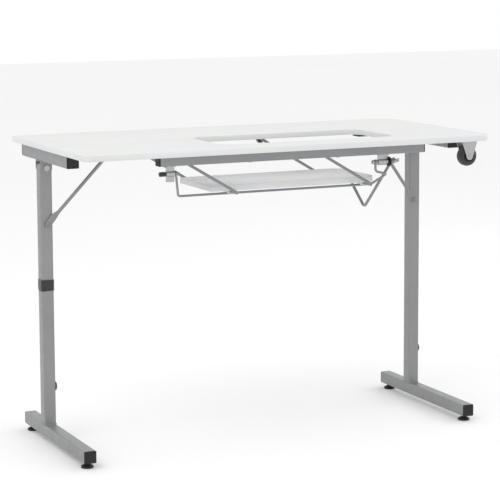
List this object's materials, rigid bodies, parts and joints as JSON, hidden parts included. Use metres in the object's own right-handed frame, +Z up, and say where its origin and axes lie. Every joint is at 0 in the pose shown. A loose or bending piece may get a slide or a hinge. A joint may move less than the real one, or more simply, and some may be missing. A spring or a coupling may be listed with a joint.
{
  "type": "folding sewing table",
  "caption": "Folding sewing table: white board with a machine opening, lifting platform on wire bails, fold-in T-legs with braces, levelling pads and fixed casters.",
  "frame": {"origin": "on the floor, below the centre of the board (bottom centre of the bounding box)", "axes": "+X to the right as the user faces the table, +Y to the back, +Z up"},
  "size_m": [1.016, 0.508, 0.697],
  "materials": {
    "white_board": "satin white laminate",
    "edge_white": "fine-textured white plastic band",
    "grey_paint": "satin silver-grey powder coat",
    "grey_wire": "grey plated wire",
    "zinc": "zinc-plated sheet and hardware",
    "black_plastic": "black moulded plastic",
    "black_rubber": "soft black rubber",
    "clip_plastic": "pale moulded plastic",
    "strap": "black hook-and-loop webbing"
  },
  "bodies": {
    "root": {"tabletop": "white_board", "edge_band": "edge_white", "opening_band": "edge_white", "front_rail": "grey_paint", "rail_caps": "black_plastic", "rail_screws": "zinc", "left_crossbar": "grey_paint", "right_crossbar": "grey_paint", "crossbar_caps": "black_plastic", "crossbar_screws": "zinc", "left_hinge_bracket": "grey_paint", "right_hinge_bracket": "grey_paint", "hinge_bolts": "zinc", "brace_seats": "grey_paint", "platform_stop": "black_rubber", "rear_pivot_brackets": "zinc", "pivot_bushes": "black_plastic", "left_lift_bracket": "zinc", "right_lift_bracket": "zinc", "clamp_screw": "zinc", "clamp_disc": "black_plastic", "front_caster_fork": "zinc", "front_caster_axle": "zinc", "rear_caster_fork": "zinc", "rear_caster_axle": "zinc"},
    "left_leg": {"left_leg": "grey_paint", "left_leg_plug": "black_plastic", "left_foot": "grey_paint", "left_foot_caps": "black_plastic", "left_bumper": "black_rubber", "leg_strap": "strap", "left_brace_screw": "zinc"},
    "right_leg": {"right_leg": "grey_paint", "right_leg_plug": "black_plastic", "right_foot": "grey_paint", "right_foot_caps": "black_plastic", "right_bumper": "black_rubber", "right_brace_screw": "zinc"},
    "left_brace": {"left_brace": "grey_wire"},
    "right_brace": {"right_brace": "grey_wire"},
    "left_front_pad": {"left_front_pad": "black_plastic"},
    "left_rear_pad": {"left_rear_pad": "black_plastic"},
    "right_front_pad": {"right_front_pad": "black_plastic"},
    "right_rear_pad": {"right_rear_pad": "black_plastic"},
    "left_bail": {"left_bail": "grey_wire"},
    "right_bail": {"right_bail": "grey_wire"},
    "platform": {"platform": "white_board", "rod_clips": "clip_plastic", "clip_screws": "zinc"},
    "support_wire": {"support_wire": "grey_wire"},
    "prop_arm": {"prop_arm": "grey_wire"},
    "wing_nut": {"wing_nut": "zinc"},
    "latch_pin": {"latch_pin": "grey_wire", "latch_grip": "black_rubber"},
    "front_wheel": {"front_caster_hub": "black_plastic", "front_caster_tyre": "black_rubber"},
    "rear_wheel": {"rear_caster_hub": "black_plastic", "rear_caster_tyre": "black_rubber"}
  },
  "joints": [
    {"name": "left_leg_fold", "type": "hinge", "parent": "root", "child": "left_leg", "pos_m": [-0.482, 0.092, 0.6375], "axis": [0, 1, 0], "range_deg": [-76, 0]},
    {"name": "right_leg_fold", "type": "hinge", "parent": "root", "child": "right_leg", "pos_m": [0.482, 0.092, 0.6375], "axis": [0, 1, 0], "range_deg": [0, 70]},
    {"name": "left_brace_fold", "type": "hinge", "parent": "left_leg", "child": "left_brace", "pos_m": [-0.48, 0.074, 0.508], "axis": [0, 1, 0], "range_deg": [0, 110]},
    {"name": "right_brace_fold", "type": "hinge", "parent": "right_leg", "child": "right_brace", "pos_m": [0.48, 0.074, 0.508], "axis": [0, 1, 0], "range_deg": [-102, 0]},
    {"name": "platform_lift", "type": "hinge", "parent": "root", "child": "left_bail", "pos_m": [-0.246, 0, 0.6695], "axis": [0, 1, 0], "range_deg": [-27, 0]},
    {"name": "right_bail_swing", "type": "hinge", "parent": "root", "child": "right_bail", "pos_m": [0.099, 0, 0.6695], "axis": [0, 1, 0], "range_deg": [-27, 0]},
    {"name": "platform_level", "type": "hinge", "parent": "left_bail", "child": "platform", "pos_m": [-0.095, 0, 0.58], "axis": [0, 1, 0], "range_deg": [0, 27]},
    {"name": "support_wire_swing", "type": "hinge", "parent": "root", "child": "support_wire", "pos_m": [0, -0.148, 0.6365], "axis": [1, 0, 0], "range_deg": [-75, 0]},
    {"name": "prop_arm_swing", "type": "hinge", "parent": "root", "child": "prop_arm", "pos_m": [0.289, -0.148, 0.6365], "axis": [1, 0, 0], "range_deg": [0, 20]},
    {"name": "wing_nut_turn", "type": "hinge", "parent": "root", "child": "wing_nut", "pos_m": [0.297, -0.148, 0.6365], "axis": [1, 0, 0], "continuous": true},
    {"name": "latch_pin_pull", "type": "slide", "parent": "root", "child": "latch_pin", "axis": [1, 0, 0], "range_m": [-0.01, 0]},
    {"name": "front_wheel_spin", "type": "hinge", "parent": "root", "child": "front_wheel", "pos_m": [0.478, -0.174, 0.6425], "axis": [0, 1, 0], "continuous": true},
    {"name": "rear_wheel_spin", "type": "hinge", "parent": "root", "child": "rear_wheel", "pos_m": [0.478, 0.23, 0.6425], "axis": [0, 1, 0], "continuous": true},
    {"name": "left_front_pad_level", "type": "slide", "parent": "left_leg", "child": "left_front_pad", "axis": [0, 0, -1], "range_m": [0, 0.008]},
    {"name": "left_rear_pad_level", "type": "slide", "parent": "left_leg", "child": "left_rear_pad", "axis": [0, 0, -1], "range_m": [0, 0.008]},
    {"name": "right_front_pad_level", "type": "slide", "parent": "right_leg", "child": "right_front_pad", "axis": [0, 0, -1], "range_m": [0, 0.008]},
    {"name": "right_rear_pad_level", "type": "slide", "parent": "right_leg", "child": "right_rear_pad", "axis": [0, 0, -1], "range_m": [0, 0.008]}
  ],
  "couplings": [
    {"joint": "left_brace_fold", "follows": "left_leg_fold", "ratio": -1.43},
    {"joint": "right_brace_fold", "follows": "right_leg_fold", "ratio": -1.43},
    {"joint": "right_bail_swing", "follows": "platform_lift", "ratio": 1},
    {"joint": "platform_level", "follows": "platform_lift", "ratio": -1},
    {"joint": "prop_arm_swing", "follows": "platform_lift", "ratio": -0.72}
  ]
}
